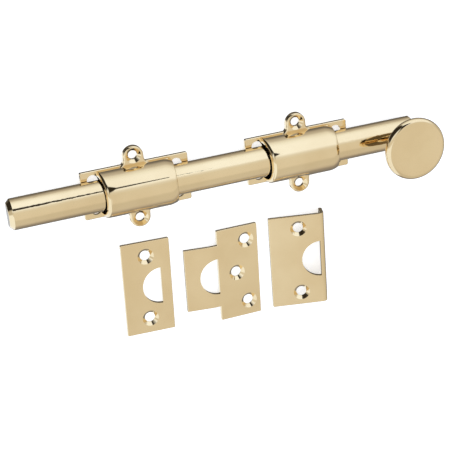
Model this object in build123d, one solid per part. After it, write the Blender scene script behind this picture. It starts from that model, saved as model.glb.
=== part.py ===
from build123d import *
import math
import os

os.makedirs("parts", exist_ok=True)

# Surface barrel bolt lying on its mounting plane: z = 0 is the door face, +Z points off the door,
# the rod runs along X with its tip toward -X and the knob toward +X. Millimetres.
# The origin is the middle of the front guide's two ear screws, on the mounting plane.

# driving sizes
rod_length = 204.8
rod_width = 15.2
rod_side = 1.25
tip_bevel = 1.9
tip_round = 0.5
knob_from_end = 8.9
guide_share = 0.25879
guide_margin = 4.4
cover_margin = 3.7
plate_thick = 1.6
slot_width = 5.3
slot_end_land = 3.2
slot_side_land = 1.9
cover_end_land = 8.1
crown_over_rod = 4.45
cover_wall = 2.1
end_draft = 5.5
lip_round = 1.6
nose_length = 5.0
nose_narrowing = 1.0
nose_drop = 2.0
nose_round = 0.5
mouth_ease = 6.0
mouth_drop = 0.9
mouth_depth = 5.0
ear_radius = 5.0
ear_thick = 2.9
ear_screw_out = 4.7
ear_tip_out = 9.3
ear_blend = 3.0
ear_round = 0.9
screw_hole_radius = 2.25
screw_head_radius = 3.7
tip_out = 36.3
knob_out = 24.4
knob_radius = 15.5
knob_face_lift = 18.75
knob_thick = 4.8
knob_rim = 2.4
neck_radius = 4.9
neck_flare = 7.4
knob_screw_radius = 2.4
knob_screw_head = 4.6
knob_screw_grip = 9.0
stop_pin_radius = 2.0
stop_pin_lift = 2.9
throw_out = 27.5
throw_back = 36.0
spring_width = 8.0
spring_thick = 0.3
spring_space = 0.7
spring_hook = 1.2
strike_thick = 1.8
strike_height = 49.0
strike_edge = 0.3
strike_corner = 0.5
strike_screw_radius = 2.55
strike_head_radius = 4.1
strike_opening_gap = 2.0
flat_strike_width = 24.4
flat_opening_offset = 7.0
strike_screw_spacing = 33.5
plate_strike_width = 21.5
tongue_width = 17.2
tongue_height = 33.4
tongue_bend = 9.0
tongue_flat = 3.0
tongue_bend_radius = 6.0
pair_screw_offset = 4.5
centre_screw_offset = -1.1
angle_strike_width = 28.3
angle_screw_spacing = 35.3
angle_screw_offset = 0.8
angle_opening_land = 2.6
angle_lip = 7.6
angle_bend_radius = 2.3
flat_strike_place = (-0.5, -53.8, -2.1)
step_strike_place = (46.4, -56.4, -1.7)
angle_strike_place = (77.9, -56.7, -1.0)

# clearances
bore_gap = 0.08
spring_gap = 0.04
pin_side_gap = 0.15
pin_end_gap = 0.4
screw_gap = 0.12
pad_gap = 0.06
spring_pin_gap = 0.6

# places that follow from the sizes above
rod_height = rod_width / 2 + rod_side
rod_floor = plate_thick + spring_space
rod_top = rod_floor + rod_height
plate_length = guide_share * rod_length
plate_width = rod_width + 2 * guide_margin
half_cover = rod_width / 2 + cover_margin
slot_length = plate_width - 2 * slot_side_land
slot_reach = plate_length / 2 - slot_end_land - slot_width / 2
cover_length = plate_length - 2 * cover_end_land
cover_height = rod_top + crown_over_rod
cover_foot = ear_thick - plate_thick + 0.1
ear_spacing = 2 * (half_cover + ear_screw_out)
ear_reach = half_cover + ear_tip_out
tip_x = -plate_length / 2 - tip_out
rod_end = tip_x + rod_length
knob_x = rod_end - knob_from_end
rear_x = knob_x - knob_out - plate_length / 2
knob_face_height = rod_top + knob_face_lift
bore_half = rod_width / 2 + bore_gap
mouth_half = half_cover - cover_wall
mouth_top = cover_height - mouth_drop - cover_wall
strike_opening_radius = rod_width / 2 + strike_opening_gap


def archFace(half, foot, top, x, floor):
    # half-round section standing on a plane: straight feet, elliptical crown
    rise = top - foot
    bottom = [(half, floor), (-half, floor)]
    with BuildSketch(Plane(origin=(x, 0, 0), x_dir=(0, 1, 0), z_dir=(1, 0, 0))) as face:
        with BuildLine():
            Line(bottom[1], bottom[0])
            Line(bottom[0], (half, foot))
            EllipticalCenterArc((0, foot), half, rise, start_angle=0, arc_size=180)
            Line((-half, foot), bottom[1])
        make_face()
    return face.sketch


def archBar(half, foot, top, length, floor):
    return extrude(archFace(half, foot, top, -length / 2, floor), amount=length, dir=(1, 0, 0))


def countersunkHole(x, y, bottom, top, shank_radius, head_radius):
    depth = head_radius - shank_radius
    shank = Pos(x, y, (bottom + top) / 2) * Cylinder(shank_radius, top - bottom + 2)
    cone = Pos(x, y, top - depth / 2) * Cone(shank_radius, head_radius, depth)
    rim = Pos(x, y, top + 0.5) * Cylinder(head_radius, 1.0)
    return shank + cone + rim


def strikeHole(x, y):
    return countersunkHole(x, y, 0, strike_thick, strike_screw_radius, strike_head_radius)


def groundRod():
    # half-round bar with a bevelled nose, a stop groove in its flat back and the knob screw's bore
    half = rod_width / 2
    side = rod_floor + rod_height - half
    bar = Pos(tip_x + rod_length / 2, 0, 0) * archBar(half, side, rod_top, rod_length, rod_floor)
    nose = [e for e in bar.faces().sort_by(Axis.X)[0].edges() if e.center().Z > rod_floor + 0.1]
    bar = chamfer(nose, tip_bevel)
    ridges = [e for e in bar.edges() if tip_x - 0.01 < e.center().X < tip_x + tip_bevel + 0.01
              and abs(e.tangent_at(0.5).X) < 0.1 and e.center().Z > rod_floor + 0.1]
    bar = fillet(ridges, tip_round)
    tail = [e for e in bar.faces().sort_by(Axis.X)[-1].edges() if e.center().Z > rod_floor + 0.1]
    bar = chamfer(tail, 0.6)
    heel = [e for e in bar.faces().sort_by(Axis.Z)[0].edges() if abs(e.tangent_at(0.5).X) > 0.9]
    bar = fillet(heel, 0.3)
    groove_half = stop_pin_radius + pin_side_gap
    groove_from = rear_x - throw_back - pin_end_gap
    groove_to = rear_x + throw_out + pin_end_gap
    groove_depth = stop_pin_lift - spring_space + pin_end_gap
    groove = Pos((groove_from + groove_to) / 2, 0, rod_floor + groove_depth / 2) * Box(
        groove_to - groove_from, 2 * groove_half, groove_depth)
    bar -= groove
    for x in (groove_from, groove_to):
        bar -= Pos(x, 0, rod_floor + groove_depth / 2) * Cylinder(groove_half, groove_depth)
    bar -= Pos(knob_x, 0, rod_floor + rod_height / 2) * Cylinder(
        knob_screw_radius + screw_gap, rod_height + 2)
    sink = knob_screw_head - knob_screw_radius
    bar -= Pos(knob_x, 0, rod_floor + sink / 2) * Cone(
        knob_screw_head + screw_gap, knob_screw_radius + screw_gap, sink)
    return bar


def turnedKnob(rod):
    # flat-faced round knob with a rounded rim, flaring into a neck that saddles the rod
    face = knob_face_height
    under = face - knob_thick
    under_rim = knob_thick - knob_rim
    with BuildSketch(Plane.XZ) as profile:
        with BuildLine():
            Line((0, rod_floor + rod_height / 2), (neck_radius, rod_floor + rod_height / 2))
            Line((neck_radius, rod_floor + rod_height / 2), (neck_radius, under - 3.2))
            Spline((neck_radius, under - 3.2), (neck_radius + 0.7, under - 1.1), (neck_flare, under),
                   tangents=[(0, 1), (1, 0.1)])
            Line((neck_flare, under), (knob_radius - under_rim, under))
            RadiusArc((knob_radius - under_rim, under), (knob_radius, under + under_rim), -under_rim)
            RadiusArc((knob_radius, face - knob_rim), (knob_radius - knob_rim, face), -knob_rim)
            Line((knob_radius - knob_rim, face), (0, face))
            Line((0, face), (0, rod_floor + rod_height / 2))
        make_face()
    turned = Pos(knob_x, 0, 0) * revolve(profile.sketch, Axis.Z)
    half = rod_width / 2
    side = rod_floor + rod_height - half
    seat = Pos(knob_x, 0, 0) * archBar(half, side, rod_top, 4 * neck_radius, rod_floor)
    turned -= seat
    turned -= Pos(knob_x, 0, rod_top + knob_screw_grip / 2) * Cylinder(
        knob_screw_radius, knob_screw_grip + 2)
    return turned


def backScrew():
    # countersunk machine screw from the rod's flat back up into the knob
    sink = knob_screw_head - knob_screw_radius
    length = rod_height + knob_screw_grip
    seat = 0.02
    head = Pos(knob_x, 0, rod_floor + seat + (sink - seat) / 2) * Cone(
        knob_screw_head - seat, knob_screw_radius, sink - seat)
    shank = Pos(knob_x, 0, rod_floor + seat + (length - seat) / 2) * Cylinder(
        knob_screw_radius - seat / 2, length - seat)
    slot = Pos(knob_x, 0, rod_floor + 0.5) * Box(2 * knob_screw_head + 1, 1.2, 1.0)
    return head + shank - slot


def basePlate(x, pinned):
    plate = Pos(x, 0, plate_thick / 2) * Box(plate_length, plate_width, plate_thick)
    plate = fillet(plate.edges().filter_by(Axis.Z), 0.8)
    plate = chamfer(plate.faces().sort_by(Axis.Z)[-1].edges(), 0.25)
    straight = slot_length - slot_width
    for side in (-1, 1):
        cx = x + side * slot_reach
        plate -= Pos(cx, 0, plate_thick / 2) * Box(slot_width, straight, plate_thick + 2)
        for end in (-1, 1):
            plate -= Pos(cx, end * straight / 2, plate_thick / 2) * Cylinder(slot_width / 2, plate_thick + 2)
    if pinned:
        plate -= Pos(x, 0, plate_thick / 2) * Cylinder(stop_pin_radius, plate_thick + 2)
    return plate


def stopPin():
    height = plate_thick + stop_pin_lift
    pin = Pos(rear_x, 0, height / 2) * Cylinder(stop_pin_radius, height)
    return chamfer(pin.faces().sort_by(Axis.Z)[-1].edges(), 0.3)


def coverShell():
    # arch that eases down to its mouth and closes in on the rod towards its other end
    foot = plate_thick + cover_foot
    ease = cover_length / 2 - mouth_ease
    nose = cover_length / 2 - nose_length
    mouth = []
    tail = []
    for step in (0, 1, 2, 3):
        share = step / 3
        eased = cover_height - mouth_drop * share ** 2
        closed = cover_height - nose_drop * share ** 2
        half = half_cover - nose_narrowing * share ** 2
        mouth.append(archFace(half_cover, foot, eased, -ease - mouth_ease * share, plate_thick))
        tail.append(archFace(half, foot, closed, nose + nose_length * share, plate_thick))
    middle = extrude(archFace(half_cover, foot, cover_height, -ease, plate_thick),
                     amount=ease + nose, dir=(1, 0, 0))
    return middle + loft(mouth) + loft(tail)


def onEnd(edge, side, lean):
    # edges round an end face of the cover, clear of its foot
    middle = edge.center()
    return middle.X * side > cover_length / 2 - lean - 0.5 and middle.Z > plate_thick + 0.1


def guideCover(x):
    # arched keeper with a screw ear on each long side, standing on the base plate
    shell = coverShell()
    lean = (cover_height - plate_thick) * math.tan(math.radians(end_draft))
    with BuildSketch(Plane.XZ) as side:
        Polygon((-cover_length / 2, plate_thick), (cover_length / 2, plate_thick),
                (cover_length / 2 - lean, cover_height + 0.01),
                (lean - cover_length / 2, cover_height + 0.01),
                align=None)
    shell &= extrude(side.sketch, amount=half_cover + 1, both=True)
    shell = fillet([e for e in shell.edges() if onEnd(e, -1, lean)], lip_round)
    shell = fillet([e for e in shell.edges() if onEnd(e, 1, lean)], nose_round)

    with BuildSketch() as outline:
        Rectangle(cover_length - 4, 2 * half_cover)
        for end in (-1, 1):
            with Locations((0, end * (ear_reach - ear_radius))):
                Circle(ear_radius)
            with Locations((0, end * (ear_reach - ear_radius) / 2)):
                Rectangle(2 * ear_radius, ear_reach - ear_radius)
        inner = [v for v in outline.vertices() if abs(abs(v.X) - ear_radius) < 0.01
                 and abs(abs(v.Y) - half_cover) < 0.01]
        fillet(inner, ear_blend)
    flange = Pos(0, 0, plate_thick) * extrude(outline.sketch, amount=ear_thick - plate_thick)
    pads = extrude(outline.sketch, amount=plate_thick)
    pads -= Pos(0, 0, plate_thick / 2) * Box(plate_length, plate_width + 2 * pad_gap, plate_thick + 2)
    ears = flange + pads
    tops = [e for e in ears.faces().sort_by(Axis.Z)[-1].edges() if abs(e.center().Y) > half_cover + 0.3]
    ears = fillet(tops, ear_round)
    cover = shell + ears

    bore_foot = rod_floor + rod_height - rod_width / 2
    cover -= archBar(bore_half, bore_foot, bore_foot + bore_half, cover_length + 4, 0)
    cover -= Pos(-cover_length / 2 + mouth_depth / 2 - 1, 0, 0) * archBar(
        mouth_half, plate_thick + cover_foot + 0.9, mouth_top, mouth_depth + 2, 0)
    for end in (-1, 1):
        cover -= countersunkHole(0, end * ear_spacing / 2, 0, ear_thick, screw_hole_radius, screw_head_radius)
    return Pos(x, 0, 0) * cover


def leafSpring(x, pinned):
    # bowed strip between base plate and rod, its ends hooked down into the plate's slots
    inner = slot_reach - slot_width / 2 + spring_gap
    outer = inner + spring_thick
    low = plate_thick
    peak = rod_floor - spring_gap
    with BuildSketch(Plane.XZ) as strip:
        with BuildLine():
            ThreePointArc((-inner, low), (0, peak - spring_thick), (inner, low))
            Line((inner, low), (inner, low - spring_hook))
            Line((inner, low - spring_hook), (outer, low - spring_hook))
            Line((outer, low - spring_hook), (outer, low + spring_thick))
            ThreePointArc((outer, low + spring_thick), (0, peak), (-outer, low + spring_thick))
            Line((-outer, low + spring_thick), (-outer, low - spring_hook))
            Line((-outer, low - spring_hook), (-inner, low - spring_hook))
            Line((-inner, low - spring_hook), (-inner, low))
        make_face()
    spring = extrude(strip.sketch, amount=spring_width / 2, both=True)
    if pinned:
        spring -= Pos(0, 0, low) * Cylinder(stop_pin_radius + spring_pin_gap, 6)
    return Pos(x, 0, 0) * spring


def halfMoon(flat_x, reach):
    # round half opening whose flat edge lies at flat_x, bulging toward -X
    disc = Pos(flat_x, 0, 0) * Cylinder(strike_opening_radius, 2 * reach)
    keep = Pos(flat_x - strike_opening_radius, 0, 0) * Box(
        2 * strike_opening_radius, 2 * strike_opening_radius + 2, 2 * reach)
    return disc & keep


def flatStrike():
    plate = Pos(0, 0, strike_thick / 2) * Box(flat_strike_width, strike_height, strike_thick)
    plate = fillet(plate.edges().filter_by(Axis.Z), strike_corner)
    plate = fillet(plate.edges() - plate.edges().filter_by(Axis.Z), strike_edge)
    plate -= halfMoon(flat_opening_offset, 4)
    for end in (-1, 1):
        plate -= strikeHole(0, end * strike_screw_spacing / 2)
    return plate


def plateStrike():
    # screw plate with a lower tongue set back by a shallow bend beside the step
    half = plate_strike_width / 2
    plate = Pos(0, 0, strike_thick / 2) * Box(plate_strike_width, strike_height, strike_thick)
    plate = fillet(plate.edges().filter_by(Axis.Z), strike_corner)
    angle = math.radians(tongue_bend)
    inner = tongue_bend_radius
    outer = inner + strike_thick
    bend = (-half - tongue_flat, -inner)
    low = (bend[0] - inner * math.sin(angle), bend[1] + inner * math.cos(angle))
    high = (bend[0] - outer * math.sin(angle), bend[1] + outer * math.cos(angle))
    mid_low = (bend[0] - inner * math.sin(angle / 2), bend[1] + inner * math.cos(angle / 2))
    mid_high = (bend[0] - outer * math.sin(angle / 2), bend[1] + outer * math.cos(angle / 2))
    run = tongue_width - tongue_flat - outer * angle
    step = (-run * math.cos(angle), -run * math.sin(angle))
    tip_low = (low[0] + step[0], low[1] + step[1])
    tip_high = (high[0] + step[0], high[1] + step[1])
    with BuildSketch(Plane.XZ) as side:
        with BuildLine():
            Line((-half, 0), (bend[0], 0))
            ThreePointArc((bend[0], 0), mid_low, low)
            Line(low, tip_low)
            Line(tip_low, tip_high)
            Line(tip_high, high)
            ThreePointArc(high, mid_high, (bend[0], strike_thick))
            Line((bend[0], strike_thick), (-half, strike_thick))
            Line((-half, strike_thick), (-half, 0))
        make_face()
    plate += extrude(side.sketch, amount=tongue_height / 2, both=True)
    rims = [e for e in plate.edges() if abs(e.tangent_at(0.5).Z) < 0.9
            and (abs(e.tangent_at(0.5).Y) < 0.9 or abs(e.center().Y) > 0.1
                 or e.center().X > half - 1 or e.center().X < tip_low[0] + 1)]
    plate = fillet(rims, strike_edge)
    for end in (-1, 1):
        plate -= strikeHole(pair_screw_offset, end * strike_screw_spacing / 2)
    plate -= strikeHole(centre_screw_offset, 0)
    plate -= halfMoon(-half, 12)
    # turned until the tongue's end and the screw plate's far edge both touch the ground
    far_edge = (half, 0)
    rest = math.degrees(math.atan2(far_edge[1] - tip_low[1], far_edge[0] - tip_low[0]))
    return setDown(plate, rest)


def angleStrike():
    # flat leaf with a short lip bent back along its right edge, lying on that lip
    half = angle_strike_width / 2
    outside = angle_bend_radius
    inside = outside - strike_thick
    corner = half - outside
    with BuildSketch(Plane.XZ) as side:
        with BuildLine():
            Line((-half, 0), (corner, 0))
            RadiusArc((corner, 0), (corner + inside, -inside), inside)
            Line((corner + inside, -inside), (corner + inside, strike_thick - angle_lip))
            Line((corner + inside, strike_thick - angle_lip), (half, strike_thick - angle_lip))
            Line((half, strike_thick - angle_lip), (half, strike_thick - outside))
            RadiusArc((half, strike_thick - outside), (corner, strike_thick), -outside)
            Line((corner, strike_thick), (-half, strike_thick))
            Line((-half, strike_thick), (-half, 0))
        make_face()
    leaf = extrude(side.sketch, amount=strike_height / 2, both=True)
    rims = [e for e in leaf.edges() if abs(e.center().Y) > strike_height / 2 - 0.1
            or e.center().X < 0.1 - half or e.center().Z < 0.1 + strike_thick - angle_lip]
    leaf = fillet(rims, strike_edge)
    leaf -= halfMoon(half - angle_opening_land, 12)
    for end in (-1, 1):
        leaf -= strikeHole(angle_screw_offset, end * angle_screw_spacing / 2)
    rest = math.degrees(math.atan2(strike_thick - angle_lip, corner + inside + half))
    return setDown(leaf, rest)


def setDown(strike, lean):
    # leaned about Y, then dropped on to the ground
    leaned = Rot(0, lean, 0) * strike
    return Pos(0, 0, -leaned.bounding_box().min.Z) * leaned


def layDown(strike, place):
    x, y, turn = place
    return Pos(x, y, 0) * Rot(0, 0, turn) * strike


rod = groundRod()
pieces = {
    "bolt_rod": rod,
    "knob": turnedKnob(rod),
    "knob_screw": backScrew(),
    "front_plate": basePlate(0, False),
    "front_cover": guideCover(0),
    "front_spring": leafSpring(0, False),
    "rear_plate": basePlate(rear_x, True),
    "rear_cover": guideCover(rear_x),
    "rear_spring": leafSpring(rear_x, True),
    "stop_pin": stopPin(),
    "flat_strike": layDown(flatStrike(), flat_strike_place),
    "step_strike": layDown(plateStrike(), step_strike_place),
    "angle_strike": layDown(angleStrike(), angle_strike_place),
}
for name, solid in pieces.items():
    export_step(solid, "parts/" + name + ".step")
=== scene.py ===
import bmesh
import bpy
import math
from mathutils import Matrix, Vector


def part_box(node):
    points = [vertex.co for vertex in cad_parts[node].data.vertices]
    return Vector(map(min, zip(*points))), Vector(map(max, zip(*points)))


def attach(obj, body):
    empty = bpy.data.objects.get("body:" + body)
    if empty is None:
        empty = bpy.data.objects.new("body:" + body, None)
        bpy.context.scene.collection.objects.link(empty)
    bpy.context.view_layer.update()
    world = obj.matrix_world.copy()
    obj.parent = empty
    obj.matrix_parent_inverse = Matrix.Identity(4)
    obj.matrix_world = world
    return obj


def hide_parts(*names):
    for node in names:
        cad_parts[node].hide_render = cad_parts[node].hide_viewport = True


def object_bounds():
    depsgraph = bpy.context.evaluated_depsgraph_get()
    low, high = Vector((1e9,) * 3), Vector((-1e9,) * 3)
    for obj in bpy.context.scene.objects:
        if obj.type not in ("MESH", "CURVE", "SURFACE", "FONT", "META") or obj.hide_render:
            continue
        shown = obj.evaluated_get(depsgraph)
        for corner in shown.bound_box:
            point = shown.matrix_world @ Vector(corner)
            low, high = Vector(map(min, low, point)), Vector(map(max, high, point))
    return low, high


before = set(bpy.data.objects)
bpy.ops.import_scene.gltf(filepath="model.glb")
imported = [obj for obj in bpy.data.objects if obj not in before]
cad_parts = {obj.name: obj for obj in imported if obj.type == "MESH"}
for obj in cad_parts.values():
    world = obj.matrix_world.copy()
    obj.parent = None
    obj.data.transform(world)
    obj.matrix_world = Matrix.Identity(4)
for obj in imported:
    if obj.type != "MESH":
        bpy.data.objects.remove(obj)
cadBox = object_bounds()
scene = bpy.context.scene
scene.view_settings.view_transform = "Standard"
print("frame loaded:", len(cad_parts), "CAD pieces")


# small helpers for building node trees

class Wiring:
    def __init__(self, tree):
        self.tree = tree

    def add(self, kind, **settings):
        node = self.tree.nodes.new(kind)
        for key, value in settings.items():
            setattr(node, key, value)
        return node

    def feed(self, socket, source):
        # a source is another socket, or a plain value kept on this one
        if isinstance(source, bpy.types.NodeSocket):
            self.tree.links.new(source, socket)
        else:
            socket.default_value = source

    def math(self, operation, *sources):
        node = self.add("ShaderNodeMath", operation=operation)
        for socket, source in zip(node.inputs, sources):
            self.feed(socket, source)
        return node.outputs[0]

    def smoothStep(self, value, low, high, start=0.0, end=1.0):
        node = self.add("ShaderNodeMapRange", interpolation_type="SMOOTHSTEP")
        self.feed(node.inputs["Value"], value)
        self.feed(node.inputs["From Min"], low)
        self.feed(node.inputs["From Max"], high)
        self.feed(node.inputs["To Min"], start)
        self.feed(node.inputs["To Max"], end)
        return node.outputs["Result"]

    def mixColour(self, factor, first, second):
        node = self.add("ShaderNodeMix", data_type="RGBA")
        self.feed(node.inputs["Factor"], factor)
        self.feed(node.inputs[6], first)
        self.feed(node.inputs[7], second)
        return node.outputs[2]

    def noise(self, vector, scale, detail=2.0, roughness=0.5):
        node = self.add("ShaderNodeTexNoise")
        self.feed(node.inputs["Vector"], vector)
        node.inputs["Scale"].default_value = scale
        node.inputs["Detail"].default_value = detail
        node.inputs["Roughness"].default_value = roughness
        return node.outputs["Fac"]

    def bump(self, height, distance, under=None):
        node = self.add("ShaderNodeBump")
        node.inputs["Strength"].default_value = 1
        node.inputs["Distance"].default_value = distance
        self.feed(node.inputs["Height"], height)
        if under is not None:
            self.feed(node.inputs["Normal"], under)
        return node.outputs["Normal"]


def emptyMaterial(name):
    mat = bpy.data.materials.new(name)
    mat.use_nodes = True
    mat.node_tree.nodes.clear()
    return mat, Wiring(mat.node_tree)


# metal finishes

brassLook = {
    "light": (0.86, 0.675, 0.39, 1),
    "deep": (0.81, 0.62, 0.345, 1),
    # paler edge colour: a painted edge highlight, partly rubbed wear
    "rubbedAndHighlitEdge": (0.92, 0.77, 0.50, 1),
    "roughness": 0.055,
    "haze": 0.06,
    "wave": 0.000010,
    "waveScale": 60,
    "grain": 0.0000010,
    "grainScale": 2200,
    "grainStretch": (0.03, 1, 1),
    "edgeWidth": 0.00035,
    "edgeSamples": 4,
    "edgeTurn": (0.99, 0.9),
    "patchScale": 900,
    "patchRange": (0.35, 0.65),
    "patchLeast": 0.35,
    "toneScale": 45,
    "toneRange": (0.3, 0.7),
    "cloudScale": 110,
    "cloudRange": (0.4, 0.75),
    "streakScale": 1500,
    "streakRange": (0.45, 0.8),
    "ringDistortion": 0.6,
    "lacquer": 0.2,
    "lacquerRoughness": 0.03,
}


def metalFinish(name, look, centre=None):
    mat, wire = emptyMaterial(name)
    out = wire.add("ShaderNodeOutputMaterial")
    shader = wire.add("ShaderNodeBsdfPrincipled")
    wire.feed(out.inputs["Surface"], shader.outputs["BSDF"])
    shader.inputs["Metallic"].default_value = 1
    shader.inputs["Coat Weight"].default_value = look["lacquer"]
    shader.inputs["Coat Roughness"].default_value = look["lacquerRoughness"]
    coords = wire.add("ShaderNodeTexCoord").outputs["Object"]
    stretched = wire.add("ShaderNodeMapping")
    stretched.inputs["Scale"].default_value = look["grainStretch"]
    wire.feed(stretched.inputs["Vector"], coords)
    along = stretched.outputs["Vector"]

    # tone drifts slowly across the metal, and edges are painted paler: a painted edge highlight, partly
    # rubbed wear
    drift = wire.smoothStep(wire.noise(coords, look["toneScale"], 3), *look["toneRange"])
    tone = wire.mixColour(drift, look["deep"], look["light"])
    soft = wire.add("ShaderNodeBevel", samples=look["edgeSamples"])
    soft.inputs["Radius"].default_value = look["edgeWidth"]
    sharp = wire.add("ShaderNodeNewGeometry")
    turn = wire.add("ShaderNodeVectorMath", operation="DOT_PRODUCT")
    wire.feed(turn.inputs[0], soft.outputs["Normal"])
    wire.feed(turn.inputs[1], sharp.outputs["Normal"])
    patchy = wire.smoothStep(wire.noise(coords, look["patchScale"], 3, 0.6), *look["patchRange"],
                             look["patchLeast"], 1)
    # edge mask for the painted edge highlight, broken up in patches like rubbed wear
    rubbedAndHighlitEdge = wire.math("MULTIPLY", wire.smoothStep(turn.outputs["Value"], *look["edgeTurn"]), patchy)
    wire.feed(shader.inputs["Base Color"], wire.mixColour(rubbedAndHighlitEdge, tone, look["rubbedAndHighlitEdge"]))

    # gloss: handling haze in soft clouds, fine streaks along the polish
    cloud = wire.smoothStep(wire.noise(coords, look["cloudScale"], 4, 0.6), *look["cloudRange"])
    streak = wire.smoothStep(wire.noise(along, look["streakScale"], 3, 0.7), *look["streakRange"])
    share = look["haze"] * 0.5
    dull = wire.math("ADD", wire.math("MULTIPLY", cloud, share), wire.math("MULTIPLY", streak, share))
    wire.feed(shader.inputs["Roughness"], wire.math("ADD", dull, look["roughness"]))

    # relief: slight waviness under the buffing, then the grain itself
    wave = wire.bump(wire.noise(coords, look["waveScale"], 1), look["wave"])
    if centre is None:
        grain = wire.noise(along, look["grainScale"], 2)
    else:
        centred = wire.add("ShaderNodeMapping")
        centred.inputs["Location"].default_value = (-centre[0], -centre[1], 0)
        wire.feed(centred.inputs["Vector"], coords)
        rings = wire.add("ShaderNodeTexWave", wave_type="RINGS", rings_direction="Z")
        rings.inputs["Scale"].default_value = look["grainScale"]
        rings.inputs["Distortion"].default_value = look["ringDistortion"]
        wire.feed(rings.inputs["Vector"], centred.outputs["Vector"])
        grain = rings.outputs["Fac"]
    wire.feed(shader.inputs["Normal"], wire.bump(grain, look["grain"], wave))
    return mat


knobLow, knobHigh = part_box("knob")
knobAxis = ((knobLow[0] + knobHigh[0]) / 2, (knobLow[1] + knobHigh[1]) / 2)
steelLook = dict(brassLook, light=(0.52, 0.52, 0.51, 1), deep=(0.42, 0.42, 0.42, 1),
                 rubbedAndHighlitEdge=(0.70, 0.70, 0.69, 1), roughness=0.22, haze=0.12, lacquer=0)
drawnBrass = metalFinish("drawnBrass", dict(brassLook, wave=0.000006))
castBrass = metalFinish("castBrass", dict(brassLook, wave=0.000014, waveScale=75))
sheetBrass = metalFinish("sheetBrass", dict(brassLook, wave=0.000004, roughness=0.08,
                                            grainStretch=(1, 0.05, 1)))
turnedBrass = metalFinish("turnedBrass", dict(brassLook, roughness=0.08, wave=0.000005,
                                              grain=0.0000006, grainScale=260), knobAxis)
springSteel = metalFinish("springSteel", steelLook)
screwSteel = metalFinish("screwSteel", dict(steelLook, light=(0.60, 0.58, 0.54, 1), roughness=0.16))

# turned knob: a lathe profile swept round, its neck cut to saddle the rod

knobShape = {
    "thickness": 0.0048,
    "rim": 0.0024,
    "neck": 0.0049,
    "flare": 0.0025,
    "bore": 0.00252,
    "boreDepth": 0.0095,
    "loopGap": 0.00008,
    "turns": 192,
    "arcSteps": 14,
    "path": 0.01,
    "mergeGap": 0.000001,
    "sharpAngle": 35,
}


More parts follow.
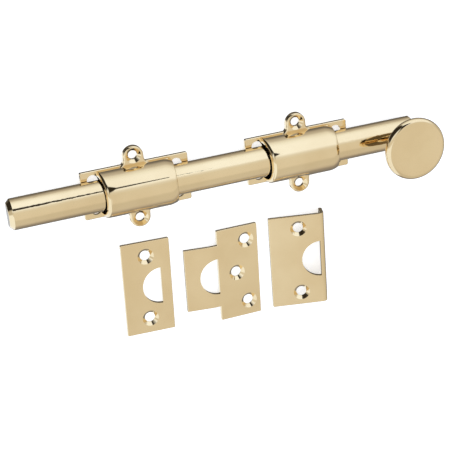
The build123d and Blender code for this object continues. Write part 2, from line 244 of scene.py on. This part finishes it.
def latheTree():
    tree = bpy.data.node_groups.new("turnedKnob", "GeometryNodeTree")
    wire = Wiring(tree)
    for name in ("radius", "face", "thickness", "rim", "neck", "flare", "bore", "boreTop",
                 "rodTop", "rodHalf", "centre", "loopGap", "path"):
        tree.interface.new_socket(name=name, in_out="INPUT", socket_type="NodeSocketFloat")
    for name in ("turns", "arcSteps"):
        tree.interface.new_socket(name=name, in_out="INPUT", socket_type="NodeSocketInt")
    tree.interface.new_socket(name="material", in_out="INPUT", socket_type="NodeSocketMaterial")
    tree.interface.new_socket(name="Geometry", in_out="OUTPUT", socket_type="NodeSocketGeometry")
    size = wire.add("NodeGroupInput").outputs
    under = wire.math("SUBTRACT", size["face"], size["thickness"])
    base = wire.math("SUBTRACT", size["rodTop"], size["rodHalf"])
    flatEnd = wire.math("SUBTRACT", wire.math("SUBTRACT", size["radius"], size["rim"]), size["loopGap"])
    flareEnd = wire.math("ADD", wire.math("ADD", size["neck"], size["flare"]), size["loopGap"])
    neckEnd = wire.math("SUBTRACT", wire.math("SUBTRACT", under, size["flare"]), size["loopGap"])
    corners = [  # distance from the axis, height, corner radius
        (0.0, size["boreTop"], 0.0), (size["bore"], size["boreTop"], 0.0), (size["bore"], base, 0.0),
        (size["neck"], base, 0.0), (size["neck"], neckEnd, 0.0), (size["neck"], under, size["flare"]),
        (flareEnd, under, 0.0), (flatEnd, under, 0.0), (size["radius"], under, size["rim"]),
        (size["radius"], size["face"], size["rim"]), (flatEnd, size["face"], 0.0), (0.0, size["face"], 0.0),
    ]
    number = wire.add("GeometryNodeInputIndex").outputs[0]
    place = wire.add("GeometryNodeIndexSwitch", data_type="VECTOR")
    bend = wire.add("GeometryNodeIndexSwitch", data_type="FLOAT")
    for switch in (place, bend):
        for extra in range(len(corners) - 2):
            switch.index_switch_items.new()
        wire.feed(switch.inputs[0], number)
    for slot, (out, height, radius) in enumerate(corners, 1):
        point = wire.add("ShaderNodeCombineXYZ")
        wire.feed(point.inputs["X"], wire.math("SUBTRACT", out, size["path"]))
        wire.feed(point.inputs["Y"], wire.math("MULTIPLY", height, -1.0))
        wire.feed(place.inputs[slot], point.outputs[0])
        wire.feed(bend.inputs[slot], radius)
    line = wire.add("GeometryNodeMeshLine")
    line.inputs["Count"].default_value = len(corners)
    curve = wire.add("GeometryNodeMeshToCurve")
    wire.feed(curve.inputs[0], line.outputs[0])
    profile = wire.add("GeometryNodeSetPosition")
    wire.feed(profile.inputs["Geometry"], curve.outputs[0])
    wire.feed(profile.inputs["Position"], place.outputs[0])
    filleted = wire.add("GeometryNodeFilletCurve", mode="POLY")
    wire.feed(filleted.inputs["Curve"], profile.outputs[0])
    wire.feed(filleted.inputs["Count"], size["arcSteps"])
    wire.feed(filleted.inputs["Radius"], bend.outputs[0])
    filleted.inputs["Limit Radius"].default_value = True
    ring = wire.add("GeometryNodeCurvePrimitiveCircle")
    wire.feed(ring.inputs["Resolution"], size["turns"])
    wire.feed(ring.inputs["Radius"], size["path"])
    swept = wire.add("GeometryNodeCurveToMesh")
    wire.feed(swept.inputs["Curve"], ring.outputs[0])
    wire.feed(swept.inputs["Profile Curve"], filleted.outputs[0])
    merged = wire.add("GeometryNodeMergeByDistance")
    merged.inputs["Distance"].default_value = knobShape["mergeGap"]
    wire.feed(merged.inputs["Geometry"], swept.outputs[0])
    # the neck's open end follows the rod's round back
    spot = wire.add("ShaderNodeSeparateXYZ")
    wire.feed(spot.inputs[0], wire.add("GeometryNodeInputPosition").outputs[0])
    atBase = wire.math("COMPARE", spot.outputs["Z"], base, 0.00001)
    crown = wire.math("SQRT", wire.math("SUBTRACT", wire.math("MULTIPLY", size["rodHalf"], size["rodHalf"]),
                                        wire.math("MULTIPLY", spot.outputs["Y"], spot.outputs["Y"])))
    lift = wire.add("ShaderNodeCombineXYZ")
    wire.feed(lift.inputs["Z"], wire.math("MULTIPLY", atBase, crown))
    saddled = wire.add("GeometryNodeSetPosition")
    wire.feed(saddled.inputs["Geometry"], merged.outputs[0])
    wire.feed(saddled.inputs["Offset"], lift.outputs[0])
    away = wire.add("ShaderNodeCombineXYZ")
    wire.feed(away.inputs["X"], size["centre"])
    moved = wire.add("GeometryNodeTransform")
    wire.feed(moved.inputs["Geometry"], saddled.outputs[0])
    wire.feed(moved.inputs["Translation"], away.outputs[0])
    real = wire.add("GeometryNodeRealizeInstances")
    wire.feed(real.inputs[0], moved.outputs[0])
    clad = wire.add("GeometryNodeSetMaterial")
    wire.feed(clad.inputs["Geometry"], real.outputs[0])
    wire.feed(clad.inputs["Material"], size["material"])
    wire.feed(wire.add("NodeGroupOutput").inputs[0], clad.outputs[0])
    return tree


def bakeTree(name, tree, values):
    # run a tree on an empty mesh, and keep the result as a plain one
    holder = bpy.data.objects.new(name + "Maker", bpy.data.meshes.new(name + "Maker"))
    scene.collection.objects.link(holder)
    maker = holder.modifiers.new("maker", "NODES")
    maker.node_group = tree
    for item in tree.interface.items_tree:
        if item.in_out == "INPUT":
            maker[item.identifier] = values[item.name]
    ready = holder.evaluated_get(bpy.context.evaluated_depsgraph_get())
    mesh = bpy.data.meshes.new_from_object(ready)
    bpy.data.objects.remove(holder)
    mesh.name = name
    work = bmesh.new()
    work.from_mesh(mesh)
    bmesh.ops.recalc_face_normals(work, faces=work.faces)
    work.to_mesh(mesh)
    work.free()
    mesh.shade_smooth()
    mesh.set_sharp_from_angle(angle=math.radians(knobShape["sharpAngle"]))
    piece = bpy.data.objects.new(name, mesh)
    scene.collection.objects.link(piece)
    return piece


def turnedKnob():
    rodLow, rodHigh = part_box("bolt_rod")
    values = dict(knobShape, radius=(knobHigh[0] - knobLow[0]) / 2, face=knobHigh[2], centre=knobAxis[0],
                  rodTop=rodHigh[2], rodHalf=(rodHigh[1] - rodLow[1]) / 2, material=turnedBrass,
                  boreTop=rodHigh[2] + knobShape["boreDepth"])
    knob = bakeTree("turned_knob", latheTree(), values)
    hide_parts("knob")
    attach(knob, "rod")
    print("knob turned:", len(knob.data.polygons), "faces")


turnedKnob()

finishes = {
    drawnBrass: ["bolt_rod"],
    castBrass: ["front_cover", "rear_cover"],
    sheetBrass: ["front_plate", "rear_plate", "flat_strike", "step_strike", "angle_strike"],
    springSteel: ["front_spring", "rear_spring"],
    screwSteel: ["knob_screw", "stop_pin"],
}
for mat, nodes in finishes.items():
    for node in nodes:
        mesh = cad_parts[node].data
        mesh.materials.clear()
        mesh.materials.append(mat)
print("finishes on", len(finishes))


# floor and lights

table = {"size": 8, "drop": 0.0001, "colour": (0.9, 0.9, 0.9, 1), "glow": 0.6}


def litTable():
    lowest = cadBox[0][2] - table["drop"]
    bpy.ops.mesh.primitive_plane_add(size=table["size"], location=(0, 0, lowest))
    floor = bpy.context.object
    floor.name = "floor"
    mat, wire = emptyMaterial("whiteAcrylic")
    out = wire.add("ShaderNodeOutputMaterial")
    shader = wire.add("ShaderNodeBsdfPrincipled")
    shader.inputs["Base Color"].default_value = table["colour"]
    shader.inputs["Roughness"].default_value = 0.9
    shader.inputs["Specular IOR Level"].default_value = 0.1
    shader.inputs["Emission Color"].default_value = (1, 1, 1, 1)
    shader.inputs["Emission Strength"].default_value = table["glow"]
    wire.feed(out.inputs["Surface"], shader.outputs["BSDF"])
    floor.data.materials.append(mat)
    floor.visible_glossy = False  # a bright table, but the polish mirrors the tent below


litTable()

# a white tent round the set: angle in degrees from straight down behind, over the top, to down in front
tent = {
    "bands": [
        (0, (0.10, 0.10, 0.10)), (22, (0.14, 0.14, 0.14)), (36, (0.24, 0.24, 0.25)),
        (47, (0.50, 0.50, 0.52)), (60, (0.64, 0.66, 0.72)), (70, (0.90, 0.98, 1.12)),
        (84, (1.06, 1.20, 1.45)), (96, (1.12, 1.27, 1.58)), (138, (1.12, 1.27, 1.58)),
        (150, (0.86, 0.91, 1.0)), (162, (0.82, 0.83, 0.84)), (205, (0.82, 0.82, 0.82)),
        (218, (0.71, 0.71, 0.70)), (252, (0.71, 0.71, 0.71)), (264, (0.60, 0.59, 0.60)),
        (276, (0.39, 0.38, 0.39)), (296, (0.27, 0.27, 0.28)), (360, (0.10, 0.10, 0.10)),
    ],
    "ends": (0.62, 0.62, 0.62, 1),
    "endFrom": 0.8,
    "gapAngle": 132,
    "gapCloses": 0.262,
    "gapSpread": 58,
    "gapLeast": 0.01,
    "gapEdge": (0.7, 1.1),
    "gapFade": 0.03,
    "gapLeft": 0.1,
    "doorSide": -0.25,
    "sideSoft": 0.05,
    "doorBehind": 0.26,
    "behindSoft": 0.06,
    "doorTop": 128,
    "doorSoft": 12,
    "gapDark": (0.02, 0.018, 0.015, 1),
    "cardLeft": (-0.05, -0.2),
    "cardFront": (0.05, -0.1),
    "card": (1.06, 1.18, 1.40, 1),
    "strength": 1.0,
}


def studioTent():
    world = bpy.data.worlds.new("tent")
    scene.world = world
    world.use_nodes = True
    world.node_tree.nodes.clear()
    wire = Wiring(world.node_tree)
    split = wire.add("ShaderNodeSeparateXYZ")
    wire.feed(split.inputs[0], wire.add("ShaderNodeTexCoord").outputs["Generated"])
    x, y, z = split.outputs
    back = wire.math("MULTIPLY", y, -1.0)
    turn = wire.math("DEGREES", 0.0)
    degrees = turn.node
    wire.feed(degrees.inputs[0], wire.math("ARCTAN2", back, z))
    angle = wire.math("ADD", turn, 180.0)
    bands = wire.add("ShaderNodeValToRGB")
    wire.feed(bands.inputs["Fac"], wire.math("DIVIDE", angle, 360.0))
    bar = bands.color_ramp
    top = max(max(colour) for place, colour in tent["bands"])  # ramp colours stay under 1
    bar.elements.remove(bar.elements[-1])
    for number, (place, colour) in enumerate(tent["bands"]):
        element = bar.elements[0] if number == 0 else bar.elements.new(place / 360)
        element.position = place / 360
        element.color = [part / top for part in colour] + [1]
    # towards the two ends of the tent the bands run into one plain tone
    ends = [part / top for part in tent["ends"][:3]] + [1]
    wall = wire.mixColour(wire.smoothStep(wire.math("ABSOLUTE", x), tent["endFrom"], 1.0),
                          bands.outputs["Color"], ends)
    # a pale card low in front, past the left end
    card = [min(part / top, 1) for part in tent["card"][:3]] + [1]
    left = wire.smoothStep(x, *tent["cardLeft"])
    front = wire.smoothStep(y, *tent["cardFront"])
    wall = wire.mixColour(wire.math("MULTIPLY", left, front), wall, card)
    # the slot between back wall and roof, wide at one end and closing towards the other
    room = wire.math("SUBTRACT", tent["gapCloses"], x)
    width = wire.math("MAXIMUM", wire.math("MULTIPLY", room, float(tent["gapSpread"])), tent["gapLeast"])
    off = wire.math("ABSOLUTE", wire.math("SUBTRACT", angle, float(tent["gapAngle"])))
    inside = wire.smoothStep(wire.math("DIVIDE", off, width), *tent["gapEdge"], 1.0, 0.0)
    # the tent's open door, a dark room behind on the left
    side = tent["doorSide"]
    aside = wire.smoothStep(x, side + tent["sideSoft"], side - tent["sideSoft"])
    behind = wire.smoothStep(y, tent["doorBehind"] - tent["behindSoft"],
                             tent["doorBehind"] + tent["behindSoft"])
    below = wire.smoothStep(angle, tent["doorTop"] + tent["doorSoft"],
                            tent["doorTop"] - tent["doorSoft"])
    door = wire.math("MULTIPLY", wire.math("MULTIPLY", aside, behind), below)
    near = wire.smoothStep(x, side - tent["gapLeft"], side)
    fading = wire.smoothStep(room, 0.0, tent["gapFade"])
    slit = wire.math("MULTIPLY", wire.math("MULTIPLY", inside, near), fading)
    dark = wire.math("MAXIMUM", slit, door)
    colour = wire.mixColour(dark, wall, tent["gapDark"])
    sky = wire.add("ShaderNodeBackground")
    sky.inputs["Strength"].default_value = tent["strength"] * top
    wire.feed(sky.inputs["Color"], colour)
    wire.feed(wire.add("ShaderNodeOutputWorld").inputs["Surface"], sky.outputs["Background"])


studioTent()
print("stage and light set")


# camera

view = {
    "eye": (-0.13531, 0.24424, 0.59067),
    "right": (0.9418, -0.0886, 0.3243),
    "down": (-0.2095, -0.9091, 0.36),
    "ahead": (0.2630, -0.4070, -0.8748),
    "lens": 109.67,
}


def placeCamera():
    data = bpy.data.cameras.new("camera")
    data.sensor_width = 36
    data.lens = view["lens"]
    camera = bpy.data.objects.new("camera", data)
    scene.collection.objects.link(camera)
    axes = Matrix((Vector(view["right"]), -Vector(view["down"]), -Vector(view["ahead"]))).transposed()
    camera.matrix_world = Matrix.Translation(view["eye"]) @ axes.to_4x4()
    scene.camera = camera


placeCamera()
